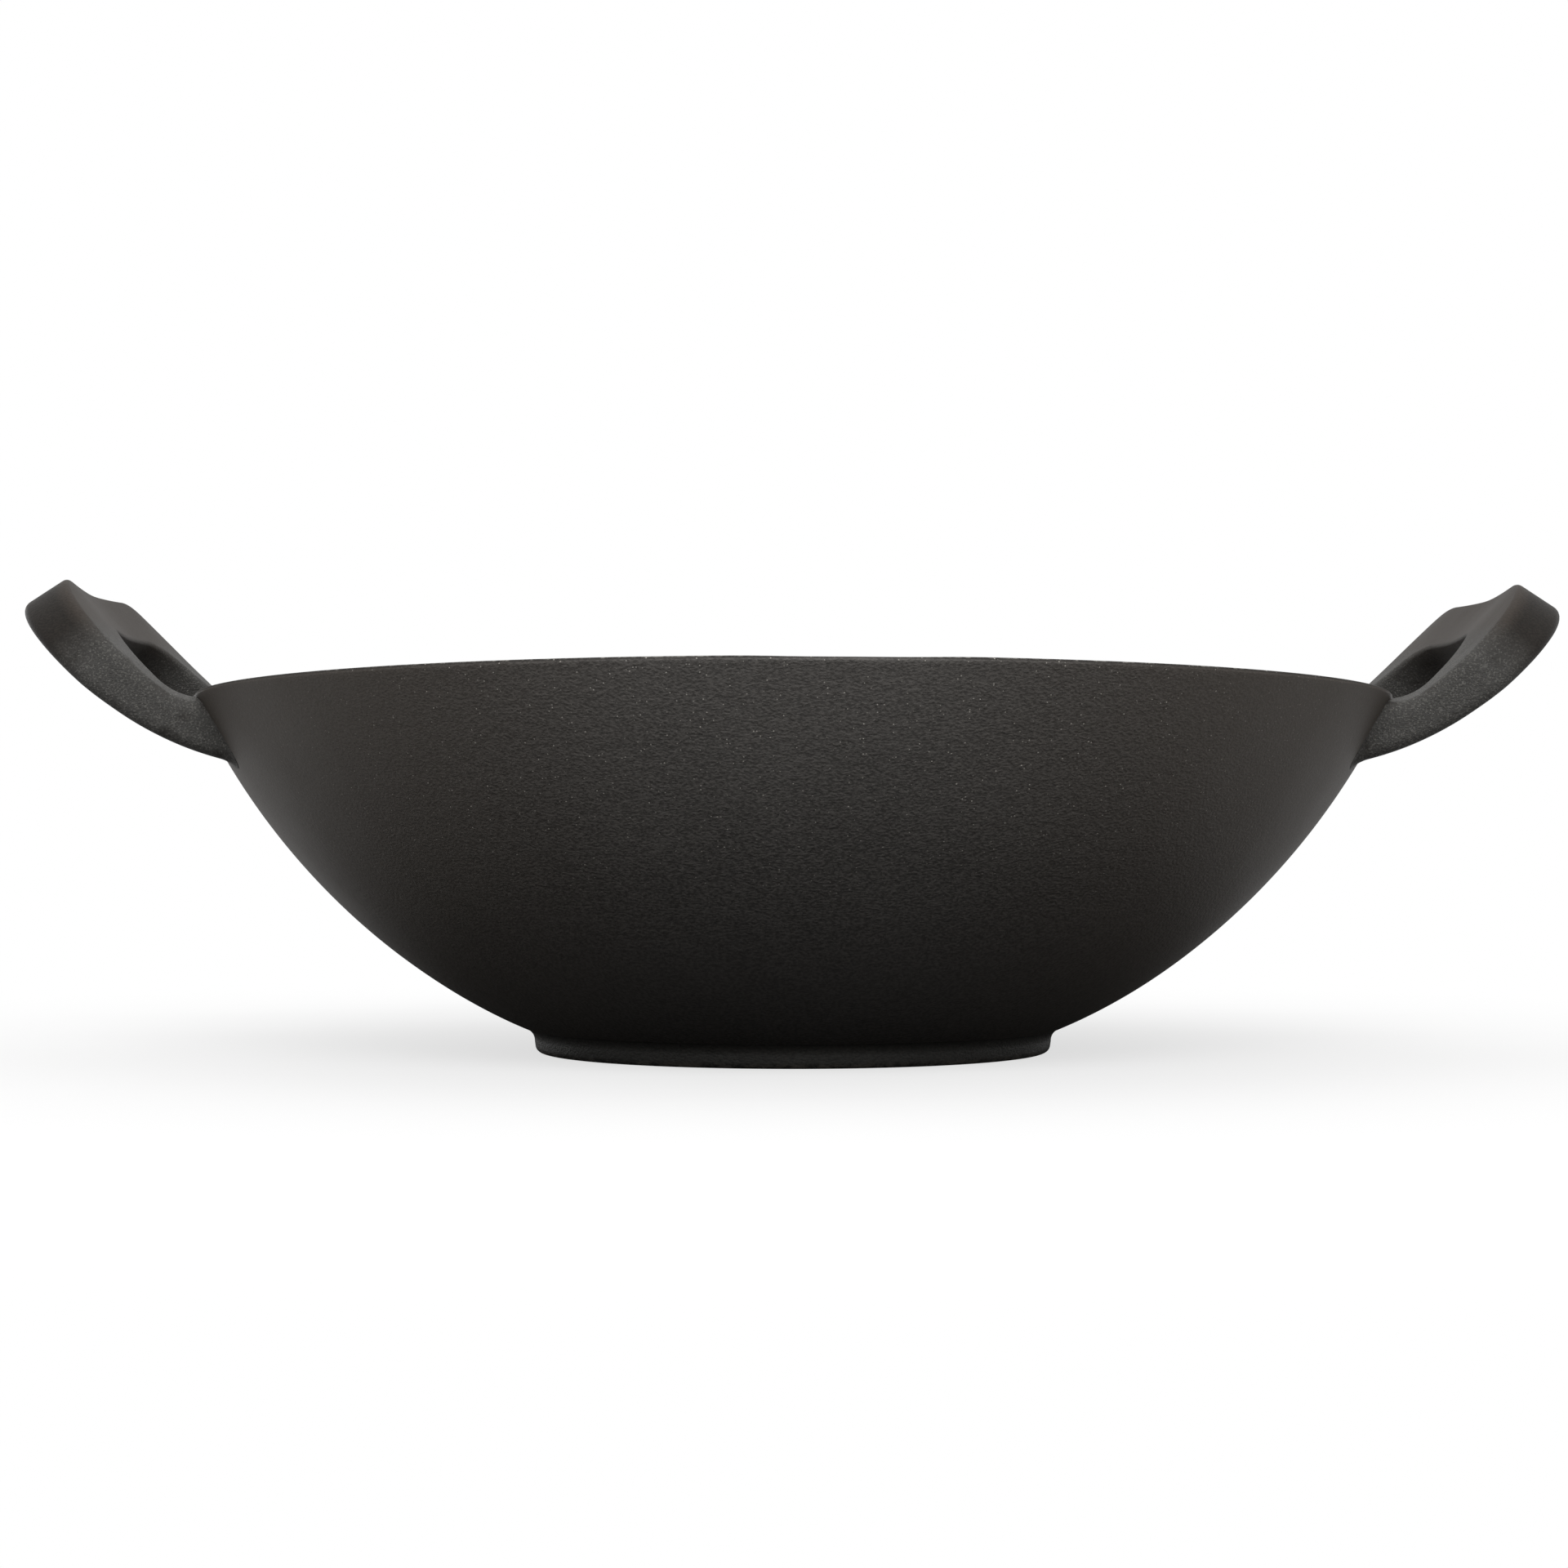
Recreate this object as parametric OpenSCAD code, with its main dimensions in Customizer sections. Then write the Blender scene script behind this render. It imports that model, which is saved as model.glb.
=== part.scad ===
// Cast iron wok with a flat base, a low round foot and two upswept loop handles.
// The real wok is one casting; its four members are separate solids that meet face to face.
// Millimetres, +Z up, origin on the surface that the wok stands on, under the middle of the bowl.

/* [Bowl] */
// Diameter over the outer edge of the rim
rim_d = 356.6; // [280:0.1:440]
// Height of the rim above the surface that the wok stands on
rim_h = 105.4; // [80:0.1:140]
// Lean of the outer wall from upright at the rim, in degrees
rim_angle = 24.5; // [15:0.5:40]
// Diameter of the flat base, where the outer wall ends
base_d = 132; // [100:1:160]
// Lean of the outer wall from upright at the base, in degrees
base_angle = 73.5; // [62:0.5:75]
// Thickness of the wall
wall_t = 4.5; // [3:0.1:7]
// Thickness of the flat cooking floor
floor_t = 5; // [3.5:0.1:8]
// Radius that softens both edges of the rim
rim_edge_r = 0.8; // [0.4:0.1:1.5]
// Height over which the floor sweeps up into the wall
floor_sweep = 2.4; // [0.5:0.1:5]

/* [Foot] */
// How far the foot stands out past the flat base
foot_w = 11.8; // [8:0.1:16]
// How much smaller the foot's radius is at the bottom of its side
foot_taper = 0.5; // [0:0.1:1.5]
// Radius of the hollow blend between the foot and the wall
foot_blend_r = 4; // [1:0.1:6]
// Radius that softens the foot's lower outer edge
foot_edge_r = 2.2; // [0.5:0.1:2.5]
// Depth of the recess under the base, inside the foot
recess_h = 2; // [1:0.1:3.5]

/* [Handles] */
// Depth of the arm's middle below the rim where it leaves the wall
root_drop = 15; // [10:0.5:25]
// Half the width of the loop at the wall, over the outsides of its arms
loop_half_w = 57; // [50:0.5:75]
// How far each arm has spread outwards where the loop's corner starts
arm_spread = 5.4; // [0:0.1:8]
// Length of the loop along its curve, from the wall to the tip
loop_len = 73.5; // [66:0.1:90]
// Length of the tighter lower curve of the loop
lower_len = 29; // [15:1:40]
// Angle at which the loop rises where it leaves the wall, in degrees
root_angle = 18; // [5:1:30]
// Angle at which it rises at the end of its lower curve, in degrees
mid_angle = 38.5; // [32:0.5:48]
// Angle at which it rises at its tip, in degrees
tip_angle = 51.5; // [42:0.5:62]
// Length of the loop's outer corners, along the arms
corner_len = 35.8; // [30:0.1:48]
// Width of the loop's outer corners, across the arms
corner_w = 30.8; // [20:0.1:40]
// Width of each arm
arm_w = 11; // [9:0.5:15]
// Width of the grip across the tip
grip_w = 20; // [13:0.5:22]
// Length of the finger hole's corners, along the arms
hole_corner_len = 42; // [24:0.5:44]
// Width of the finger hole's corners, across the arms
hole_corner_w = 30; // [20:0.5:34]
// Thickness of the loop at the wall
root_t = 9.6; // [8.5:0.1:13]
// Thickness of the loop halfway along
mid_t = 14.3; // [10:0.1:18]
// Thickness of the loop at the tip
tip_t = 16.2; // [12:0.1:20]
// Radius of the loop's upper edges at the wall, where the arms are nearly round on top
root_edge_r = 4; // [1.5:0.1:4.4]
// Radius of the loop's upper edges along the grip
top_edge_r = 2.3; // [1.5:0.1:4]
// Radius of the loop's lower edges
low_edge_r = 3.6; // [1.5:0.1:4]
// Dip of the grip's top at its middle
grip_dip_h = 2.1; // [0:0.1:4]
// Lean of the loop's outer side, which stands out further at its lower edge, in degrees
side_lean = 5; // [0:0.5:12]
// Height of the fillet that carries the top of each arm up to the wall
root_fillet_h = 5.6; // [0:0.1:8]
// How far out from the wall that fillet reaches
root_fillet_len = 9; // [4:0.5:14]

/* [Hidden] */
$fn = 120;
iron = [0.2, 0.19, 0.18];
iron_light = [0.27, 0.26, 0.25];

// Steps along each curve
wall_steps = 28;
tail_steps = 10;
edge_steps = 5;
blend_steps = 8;
arm_steps = 10;
corner_steps = 12;
grip_steps = 5;
section_steps = 3;

// Curves
function unit(v) = v / norm(v);
// Unit direction down a wall that leans from upright by an angle, and in towards the axis
function down_wall(lean) = [-sin(lean), -cos(lean)];
function bezier(c, t) =
  pow(1 - t, 3) * c[0] + 3 * pow(1 - t, 2) * t * c[1] + 3 * (1 - t) * t * t * c[2] + pow(t, 3) * c[3];
function bezier_way(c, t) =
  unit(pow(1 - t, 2) * (c[1] - c[0]) + 2 * (1 - t) * t * (c[2] - c[1]) + t * t * (c[3] - c[2]));
function short_turn(d) = d > 180 ? d - 360 : d < -180 ? d + 360 : d;
// Arc that rounds the corner at p, from the side along u to the side along v
function corner_arc(p, u, v, r, steps) =
  let (
    half = acos(u * v) / 2,
    centre = p + r / sin(half) * unit(u + v),
    from = p + r / tan(half) * u - centre,
    to = p + r / tan(half) * v - centre,
    start = atan2(from[1], from[0]),
    turn = short_turn(atan2(to[1], to[0]) - start)
  )
  [for (i = [0:steps]) centre + r * [cos(start + turn * i / steps), sin(start + turn * i / steps)]];

// Bowl: one smooth curve from the rim to the base is its outer wall
rim_r = rim_d / 2;
base_r = base_d / 2;
floor_top = recess_h + floor_t;
// Pull of that curve at its two ends, in shares of the straight line from rim to base
rim_pull_share = 0.394;
base_pull_share = 0.283;
wall_span = norm([rim_r - base_r, rim_h - recess_h]);
wall_curve = [
  [rim_r, rim_h],
  [rim_r, rim_h] + rim_pull_share * wall_span * down_wall(rim_angle),
  [base_r, recess_h] - base_pull_share * wall_span * down_wall(base_angle),
  [base_r, recess_h]
];
outer_wall = [for (i = [0:wall_steps]) bezier(wall_curve, i / wall_steps)];
outer_wall_by_height = [for (p = outer_wall) [p[1], p[0]]];
function wall_height(r) = lookup(r, outer_wall);
function wall_radius(z) = lookup(z, outer_wall_by_height);

// The inner wall is the outer one set in by the wall's thickness. A straight tail carries it on
// towards the axis, and the floor sweeps up from the tail into the wall with no corner.
function set_in(t) =
  let (way = bezier_way(wall_curve, t))
  bezier(wall_curve, t) + wall_t * [way[1], -way[0]];
tail_len = base_r / 2;
inner_wall = concat(
  [for (i = [1:wall_steps]) set_in(i / wall_steps)],
  [for (i = [1:tail_steps]) set_in(1) + tail_len * i / tail_steps * down_wall(base_angle)]
);
function swept(z) =
  let (above = z - floor_top)
  floor_top + (above + norm([above, floor_sweep])) / 2;
inner_points = [for (p = inner_wall) [p[0], swept(p[1])]];
inner_end = inner_points[len(inner_points) - 1];

// The wall limits the radius of the rim's edges
rim_edge_share = 0.3;
rim_edge = min(rim_edge_r, rim_edge_share * wall_t);
rim_inner = [rim_r - wall_t / cos(rim_angle), rim_h];
// Points of the inner wall this close under the rim give way to its rounded edge
rim_clear = wall_t * sin(rim_angle);

module bowl() {
  color(iron)
    rotate_extrude()
      polygon(concat(
        corner_arc([rim_r, rim_h], [-1, 0], down_wall(rim_angle), rim_edge, edge_steps),
        [for (i = [1:wall_steps]) outer_wall[i]],
        [[0, recess_h], [0, inner_end[1]]],
        [for (i = [len(inner_points) - 1:-1:0]) if (inner_points[i][1] < rim_h - rim_clear) inner_points[i]],
        corner_arc(rim_inner, down_wall(rim_angle), [1, 0], rim_edge, edge_steps)
      ));
}

// Everything inside the outer wall, and straight up from the rim, which the handles keep out of
mouth_h = rim_h;
module inside_of_wall() {
  polygon(concat(outer_wall, [[0, recess_h], [0, rim_h + mouth_h], [rim_r, rim_h + mouth_h]]));
}

// Foot: its side stands under the wall, with a hollow blend between them
foot_top_r = base_r + foot_w;
side_h = wall_height(foot_top_r);
foot_edge_share = 0.5;
foot_edge = min(foot_edge_r, foot_edge_share * side_h);
// The height of its side limits the blend
blend_limit_share = 1.25;
foot_blend = min(foot_blend_r, blend_limit_share * (side_h - foot_edge));
blend_r = foot_top_r + foot_blend;
blend_slope = atan((wall_height(blend_r) - wall_height(foot_top_r)) / foot_blend);
blend_centre = [blend_r, wall_height(blend_r) - foot_blend / cos(blend_slope)];
blend_up = [-sin(blend_slope), cos(blend_slope)];
foot_side = unit([foot_taper, blend_centre[1]]);

module foot_ring() {
  blend_end = 90 + blend_slope;
  color(iron_light)
    rotate_extrude()
      difference() {
        polygon(concat(
          [[base_r, 0]],
          corner_arc([foot_top_r - foot_taper, 0], [-1, 0], foot_side, foot_edge, edge_steps),
          [for (i = [0:blend_steps])
            let (angle = 180 + (blend_end - 180) * i / blend_steps)
            blend_centre + foot_blend * [cos(angle), sin(angle)]],
          [blend_centre + (foot_blend + wall_t / 2) * blend_up, [base_r, recess_h + wall_t / 2]]
        ));
        inside_of_wall();
      }
}

// Handles. A slab follows the loop's side curve: distance a runs along it from the wall to the
// tip, b runs across it, and h stands square on it. The loop's outline is drawn on the slab.
root_h = rim_h - root_drop;
root_x = sqrt(pow(wall_radius(root_h), 2) - pow(loop_half_w, 2));
// Each arm starts this far behind the wall, and the wall cuts it off
root_sink = 2 * root_drop;

// Step from the start of an arc of a given length that starts at a rise and turns by an angle
function arc_step(length, rise, turn) =
  let (half = turn / 2, chord = half == 0 ? length : length * sin(half) / (half * PI / 180))
  chord * [cos(rise + half), sin(rise + half)];
upper_len = loop_len - lower_len;
function rise_at(a) =
  a < 0 ? root_angle
  : a < lower_len ? root_angle + (mid_angle - root_angle) * a / lower_len
  : mid_angle + (tip_angle - mid_angle) * (a - lower_len) / upper_len;
function slab_at(a) =
  [root_x, root_h] + (
    a < 0 ? a * [cos(root_angle), sin(root_angle)]
    : a < lower_len ? arc_step(a, root_angle, rise_at(a) - root_angle)
    : arc_step(lower_len, root_angle, mid_angle - root_angle)
      + arc_step(a - lower_len, mid_angle, rise_at(a) - mid_angle)
  );

// Half of an outline on the slab: along an arm, round its elliptic corner and along the grip to the
// middle. The points on the arm crowd towards the wall, where its fillet is. An arm's width spreads
// by spread_w up to its corner, which starts at corner_a. The points leave the arm's stretch at
// split_a, so that the points of the outside and of the hole lie across from each other.
arm_crowding = 1.5;
function half_outline(half_w, spread_w, corner_a, split_a, size) =
  let (
    end_w = half_w + spread_w,
    first = asin((split_a - corner_a) / size[0]),
    arm = function (a) a < corner_a
      ? [a, -half_w - spread_w * a / corner_a]
      : [a, -end_w + size[1] * (1 - sqrt(1 - pow((a - corner_a) / size[0], 2)))]
  )
  concat(
    [[-root_sink, -half_w]],
    [for (i = [0:arm_steps]) arm(split_a * pow(i / arm_steps, arm_crowding))],
    [for (i = [1:corner_steps])
      let (angle = first + (90 - first) * i / corner_steps)
      [corner_a + size[0] * sin(angle), -end_w + size[1] * (1 - cos(angle))]],
    [for (i = [1:grip_steps]) [corner_a + size[0], -(end_w - size[1]) * (1 - i / grip_steps)]]
  );
function whole_outline(half) =
  concat(half, [for (i = [len(half) - 2:-1:0]) [half[i][0], -half[i][1]]]);
arm_end = loop_len - corner_len;
outside_line = whole_outline(
  half_outline(loop_half_w, arm_spread, arm_end, arm_end, [corner_len, corner_w]));
hole_tip = loop_len - grip_w;
hole_end = hole_tip - hole_corner_len;
hole_line = whole_outline(
  half_outline(loop_half_w - arm_w, arm_spread * hole_end / arm_end, hole_end,
    max(hole_end, hole_tip * arm_end / loop_len), [hole_corner_len, hole_corner_w]));

top_r_by_length = [[0, root_edge_r], [hole_tip, top_edge_r]];
loop_t_by_length = [[0, root_t], [loop_len / 2, mid_t], [loop_len - grip_w / 2, tip_t]];
// The dip lies between the grip's corners and fades out past the grip's inner edge
dip_half_w = loop_half_w + arm_spread - corner_w;
dip_fade = grip_w / 2;
function dip_at(a, b) =
  grip_dip_h * max(0, 1 - pow(b / dip_half_w, 2))
  * min(1, max(0, (a - loop_len + grip_w + dip_fade) / dip_fade));

// Rounded section of the loop between its two lines, as points [across, h]
function loop_section(half_w, half_t, top_r) =
  [for (corner = [[1, 1, 0], [-1, 1, 90], [-1, -1, 180], [1, -1, 270]], i = [0:section_steps])
    let (r = corner[1] > 0 ? top_r : low_edge_r, angle = corner[2] + 90 * i / section_steps)
    [corner[0] * (half_w - r) + r * cos(angle), corner[1] * (half_t - r) + r * sin(angle)]];
function on_slab(a, b, h) =
  let (p = slab_at(a), rise = rise_at(a))
  [p[0] - h * sin(rise), b, p[1] + h * cos(rise)];
// Height that the fillet at the wall adds over a point on top of the loop
function fillet_at(p) =
  let (gap = p[0] - sqrt(max(0, pow(wall_radius(p[2]), 2) - pow(p[1], 2))))
  root_fillet_h * pow(max(0, 1 - max(0, gap) / root_fillet_len), 2);
function loop_ring(outer, inner) =
  let (
    middle = (outer + inner) / 2,
    half_w = norm(outer - inner) / 2,
    across = unit(outer - inner),
    half_t = lookup(middle[0], loop_t_by_length) / 2
  )
  [for (q = loop_section(half_w, half_t, lookup(middle[0], top_r_by_length)))
    let (
      lean_out = q[0] > 0 ? -q[1] * tan(side_lean) : 0,
      ab = middle + (q[0] + lean_out) * across,
      top_share = max(0, q[1] / half_t),
      raised = min(1, 2 * top_share) * fillet_at(on_slab(ab[0], ab[1], q[1]))
    )
    on_slab(ab[0], ab[1], q[1] - top_share * dip_at(ab[0], ab[1]) + raised)];

// Skin of triangles over rings of equal length, closed by a fan at both ends
module ring_skin(rings) {
  n = len(rings);
  m = len(rings[0]);
  side = [for (i = [0:n - 2], j = [0:m - 1])
    let (k = (j + 1) % m, p = i * m, q = p + m)
    each [[p + j, q + j, q + k], [p + j, q + k, p + k]]];
  ends = [for (j = [1:m - 2]) each [[0, j, j + 1], [(n - 1) * m, (n - 1) * m + j + 1, (n - 1) * m + j]]];
  polyhedron(points = [for (ring = rings) each ring], faces = concat(side, ends));
}

module loop_handle() {
  rings = [for (i = [0:len(outside_line) - 1]) loop_ring(outside_line[i], hole_line[i])];
  difference() {
    ring_skin(rings);
    rotate_extrude() inside_of_wall();
  }
}

module right_handle() {
  color(iron_light) loop_handle();
}

module left_handle() {
  color(iron_light) mirror([1, 0, 0]) loop_handle();
}

bowl();
foot_ring();
left_handle();
right_handle();
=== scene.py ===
"""Looks of a cast iron wok with a flat base, a low round foot and two upswept loop handles.

The wok is one casting. Its bowl, foot and handles are built here one after the other, each as a
surface worked out on a grid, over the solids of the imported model, which stay as they are.
Metres, +Z up, the wok stands on z = 0 with its handles along X.
"""

import bpy
import numpy as np
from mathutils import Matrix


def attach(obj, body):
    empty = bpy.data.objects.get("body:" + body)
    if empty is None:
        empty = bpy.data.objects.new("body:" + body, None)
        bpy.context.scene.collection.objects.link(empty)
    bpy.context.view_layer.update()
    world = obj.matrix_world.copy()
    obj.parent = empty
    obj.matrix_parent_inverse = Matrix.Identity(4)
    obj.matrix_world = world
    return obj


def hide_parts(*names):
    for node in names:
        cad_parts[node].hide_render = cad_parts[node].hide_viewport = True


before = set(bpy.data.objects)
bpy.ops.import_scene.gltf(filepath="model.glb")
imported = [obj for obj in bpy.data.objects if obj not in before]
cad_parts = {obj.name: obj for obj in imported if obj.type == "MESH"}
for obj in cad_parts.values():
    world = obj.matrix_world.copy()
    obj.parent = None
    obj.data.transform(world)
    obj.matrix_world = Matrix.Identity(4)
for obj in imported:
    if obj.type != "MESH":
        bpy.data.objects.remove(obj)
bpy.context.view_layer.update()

# The bowl
# A deep thin dish of seasoned cast iron with a plain rounded rim. It is poured in a sand mould,
# which leaves a fine grain and slight waves outside, and its cooking side is ground and oiled.
MM = 0.001
# The outer wall's two ends, with its lean from upright in degrees and how far that lean holds
RIM_R, RIM_H, RIM_LEAN, RIM_PULL = 178.3, 105.4, 24.5, 0.394
BASE_R, BASE_H, BASE_LEAN, BASE_PULL = 66.0, 2.0, 73.5, 0.283
# The wall's thickness, the cooking floor's height, and how softly the floor runs into the wall
WALL_T, FLOOR_TOP, FLOOR_SWEEP = 4.5, 7.0, 2.4
# The rim's rounded edges: radius, rows of points, and how far under the rim each one starts
RIM_EDGE_R, EDGE_ROWS, OUTER_EDGE_H, INNER_EDGE_H = 0.9, 9, 1.6, 1.3
# Rows of points down the wall, on towards the axis, over the floor and over the base
WALL_ROWS, TAIL_ROWS, FLOOR_ROWS, BASE_ROWS = 140, 30, 26, 24
# Columns round the axis, and the radius of the rings next to the poles
BOWL_COLUMNS, CENTRE_R = 264, 1.5
# The waves' size and length, and the heights at which they start, are full, fade and end
WAVE_H, WAVE_LEN, WAVE_HEIGHTS = 0.16, 60, (9.0, 21.0, RIM_H - 28, RIM_H - 3)
# A low stretch of the rim: how low, down to how far under the rim, and its azimuth and half width
RIM_FLAW_H, RIM_FLAW_DEPTH, RIM_FLAW_AT, RIM_FLAW_W = 0.3, 5.0, -86.0, 7.0


def down_wall(lean):
    """Unit direction down a wall that leans from upright by an angle: (-sin, -cos)."""
    return np.array([-np.sin(np.radians(lean)), -np.cos(np.radians(lean))])


def wall_points(t):
    """Outer wall as radius and height at shares t of its length: one cubic curve from rim to base.

    It leaves the rim along the rim's lean and reaches the base along the base's lean. Returns the
    points and the unit directions down the wall."""
    rim, base = np.array([RIM_R, RIM_H]), np.array([BASE_R, BASE_H])
    span = np.linalg.norm(rim - base)
    a = rim + RIM_PULL * span * down_wall(RIM_LEAN)
    b = base - BASE_PULL * span * down_wall(BASE_LEAN)
    t = np.asarray(t)[:, None]
    points = (1 - t) ** 3 * rim + 3 * (1 - t) ** 2 * t * a + 3 * (1 - t) * t * t * b + t ** 3 * base
    way = (1 - t) ** 2 * (a - rim) + 2 * (1 - t) * t * (b - a) + t * t * (base - b)
    return points, way / np.linalg.norm(way, axis=1, keepdims=True)


def turn_corner(corner, u, v, r, steps):
    """Arc of radius r that rounds a corner, from the side along u to the side along v."""
    u, v = np.asarray(u, float), np.asarray(v, float)
    half = np.arccos(u @ v) / 2
    middle = (u + v) / np.linalg.norm(u + v)
    centre = corner + r / np.sin(half) * middle
    start, end = corner + r / np.tan(half) * u - centre, corner + r / np.tan(half) * v - centre
    a = np.arctan2(start[1], start[0])
    turn = (np.arctan2(end[1], end[0]) - a + np.pi) % (2 * np.pi) - np.pi
    angle = a + turn * np.linspace(0, 1, steps)
    return centre + r * np.stack([np.cos(angle), np.sin(angle)], 1)


def grid_mesh(name, grid, poles=(), around=True, along=False):
    """Mesh over a grid of points [rows, columns, xyz]. Rows x columns points outwards.

    around joins the last column to the first and along the last row to the first. poles are up to
    two single points that close the first and the last row with fans."""
    rows, columns = grid.shape[:2]
    index = np.arange(rows * columns).reshape(rows, columns)
    if around:
        index = np.concatenate([index, index[:, :1]], 1)
    if along:
        index = np.concatenate([index, index[:1]], 0)
    quads = [index[:-1, :-1], index[1:, :-1], index[1:, 1:], index[:-1, 1:]]
    quads = np.stack(quads, -1).reshape(-1, 4)
    points = grid.reshape(-1, 3)
    fans = []
    for row, pole in zip((index[0], index[-1, ::-1]), poles):
        fans.append(np.stack([np.full(columns, len(points)), row[:-1], row[1:]], -1))
        points = np.concatenate([points, np.asarray(pole, float)[None]])
    triangles = np.concatenate(fans) if fans else np.zeros((0, 3), int)
    mesh = bpy.data.meshes.new(name)
    mesh.vertices.add(len(points))
    mesh.vertices.foreach_set("co", (points * MM).astype(np.float32).ravel())
    mesh.loops.add(quads.size + triangles.size)
    mesh.loops.foreach_set("vertex_index", np.concatenate([quads.ravel(), triangles.ravel()]))
    mesh.polygons.add(len(quads) + len(triangles))
    starts = np.concatenate([np.arange(len(quads)) * 4, quads.size + np.arange(len(triangles)) * 3])
    mesh.polygons.foreach_set("loop_start", starts)
    mesh.polygons.foreach_set("use_smooth", np.ones(len(starts), bool))
    mesh.update(calc_edges=True)
    mesh.validate()
    piece = bpy.data.objects.new(name, mesh)
    bpy.context.scene.collection.objects.link(piece)
    return piece


def mark(piece, name, values):
    """Gives each vertex of a piece a value that its material can read."""
    attribute = piece.data.attributes.new(name, "FLOAT", "POINT")
    attribute.data.foreach_set("value", np.asarray(values, np.float32))


def spun(profile, columns):
    """Grid of a profile of radius and height turned about Z, with the seam left for grid_mesh."""
    angle = 2 * np.pi * np.arange(columns) / columns
    radius, height = profile[:, 0, None], profile[:, 1, None]
    return np.stack([radius * np.cos(angle), radius * np.sin(angle), height + 0 * angle], -1)


def level(start, end, height, rows):
    """Level rows of a profile, from one radius to another."""
    return np.stack([np.linspace(start, end, rows), np.full(rows, height)], 1)


def cast_waves(points, length, seed):
    """Slight waves of a sand cast wall, from 0 to 1: a mean of sines in seeded directions."""
    sines = 8
    rng = np.random.default_rng(seed)
    ways = rng.normal(size=(sines, 3))
    ways /= np.linalg.norm(ways, axis=1, keepdims=True)
    phases = rng.uniform(0, 2 * np.pi, sines)
    lengths = length * rng.uniform(0.7, 1.5, sines)
    total = sum(np.sin(2 * np.pi * (points @ way) / wave + phase)
                for way, wave, phase in zip(ways, lengths, phases))
    return np.clip(0.5 + total / sines, 0, 1)


outer, outer_way = wall_points(np.linspace(0, 1, WALL_ROWS))
inner_skin = outer + WALL_T * np.stack([outer_way[:, 1], -outer_way[:, 0]], 1)
tail = np.linspace(0, BASE_R / 2, TAIL_ROWS)[1:, None] * down_wall(BASE_LEAN)
inner = np.concatenate([inner_skin, inner_skin[-1] + tail])
above = inner[:, 1] - FLOOR_TOP
inner[:, 1] = FLOOR_TOP + (above + np.hypot(above, FLOOR_SWEEP)) / 2
rim_inner = np.array([RIM_R - WALL_T / np.cos(np.radians(RIM_LEAN)), RIM_H])
base = level(CENTRE_R, BASE_R, BASE_H, BASE_ROWS)[:-1]
outside = outer[outer[:, 1] < RIM_H - OUTER_EDGE_H][::-1]
cooking_side = inner[inner[:, 1] < RIM_H - INNER_EDGE_H]
bowl_profile = np.concatenate([
    base,
    outside,
    turn_corner([RIM_R, RIM_H], down_wall(RIM_LEAN), [-1, 0], RIM_EDGE_R, EDGE_ROWS),
    turn_corner(rim_inner, [1, 0], down_wall(RIM_LEAN), RIM_EDGE_R, EDGE_ROWS),
    cooking_side,
    level(inner[-1, 0], CENTRE_R, inner[-1, 1], FLOOR_ROWS)[1:],
])
bowl_row = np.arange(len(bowl_profile))
bowl_grid = spun(bowl_profile, BOWL_COLUMNS)
# The waves only take iron away, and die out at the rim and where the foot starts
wall_row = (bowl_row < len(base) + len(outside))[:, None]
waves = cast_waves(bowl_grid, WAVE_LEN, seed=3)
waves *= np.interp(bowl_grid[..., 2], WAVE_HEIGHTS, [0, 1, 1, 0])
out_from_axis = np.hypot(bowl_grid[..., 0], bowl_grid[..., 1])
bowl_grid[..., :2] *= (1 - WAVE_H * wall_row * waves / out_from_axis)[..., None]
# A short stretch of the near rim was poured slightly low
azimuth = np.degrees(np.arctan2(bowl_grid[..., 1], bowl_grid[..., 0]))
low_rim = np.exp(-(((azimuth - RIM_FLAW_AT) / RIM_FLAW_W) ** 4))
low_rim *= np.interp(bowl_grid[..., 2], [RIM_H - RIM_FLAW_DEPTH, RIM_H], [0, 1])
bowl_grid[..., 2] -= RIM_FLAW_H * low_rim
bowl = grid_mesh("bowl_casting", bowl_grid, [(0, 0, BASE_H), (0, 0, inner[-1, 1])])
# 1 on the cooking side, 0 outside and a step between them over the rim's inner edge
rim_middle = len(base) + len(outside) + EDGE_ROWS
cooking_row = np.clip((bowl_row - rim_middle) / (EDGE_ROWS - 1), 0, 1)
mark(bowl, "cooking_side", np.append(np.repeat(cooking_row, BOWL_COLUMNS), [0, 1]))


class Socket:
    """A node's output in a finish. Sums and the like of sockets and numbers add Math nodes."""

    def __init__(self, finish, out):
        self.finish, self.out = finish, out

    def maths(self, operation, *values):
        return self.finish.node("ShaderNodeMath", {"operation": operation}, dict(enumerate(values)))

    def __add__(self, other):
        return self.maths("ADD", self, other)

    def __sub__(self, other):
        return self.maths("SUBTRACT", self, other)

    def __rsub__(self, other):
        return self.maths("SUBTRACT", other, self)

    def __mul__(self, other):
        return self.maths("MULTIPLY", self, other)

    def __abs__(self):
        return self.maths("ABSOLUTE", self)

    __radd__ = __add__
    __rmul__ = __mul__


class Finish:
    """Nodes of a material or world. Its method adds a node: settings, then its sockets' values."""

    def __init__(self, owner):
        owner.use_nodes = True
        self.owner, self.tree = owner, owner.node_tree
        self.tree.nodes.clear()

    def node(self, kind, settings=None, values=None, out=0):
        new = self.tree.nodes.new(kind)
        for key, value in (settings or {}).items():
            setattr(new, key, value)
        for key, value in (values or {}).items():
            if isinstance(value, Socket):
                self.tree.links.new(value.out, new.inputs[key])
            else:
                new.inputs[key].default_value = value
        return Socket(self, new.outputs[out] if new.outputs else None)


def ramp(finish, value, low, high):
    """0 below low, 1 above high and a smooth step between them."""
    return finish.node("ShaderNodeMapRange", {"interpolation_type": "SMOOTHSTEP"},
                       {"Value": value, "From Min": low, "From Max": high})


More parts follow.
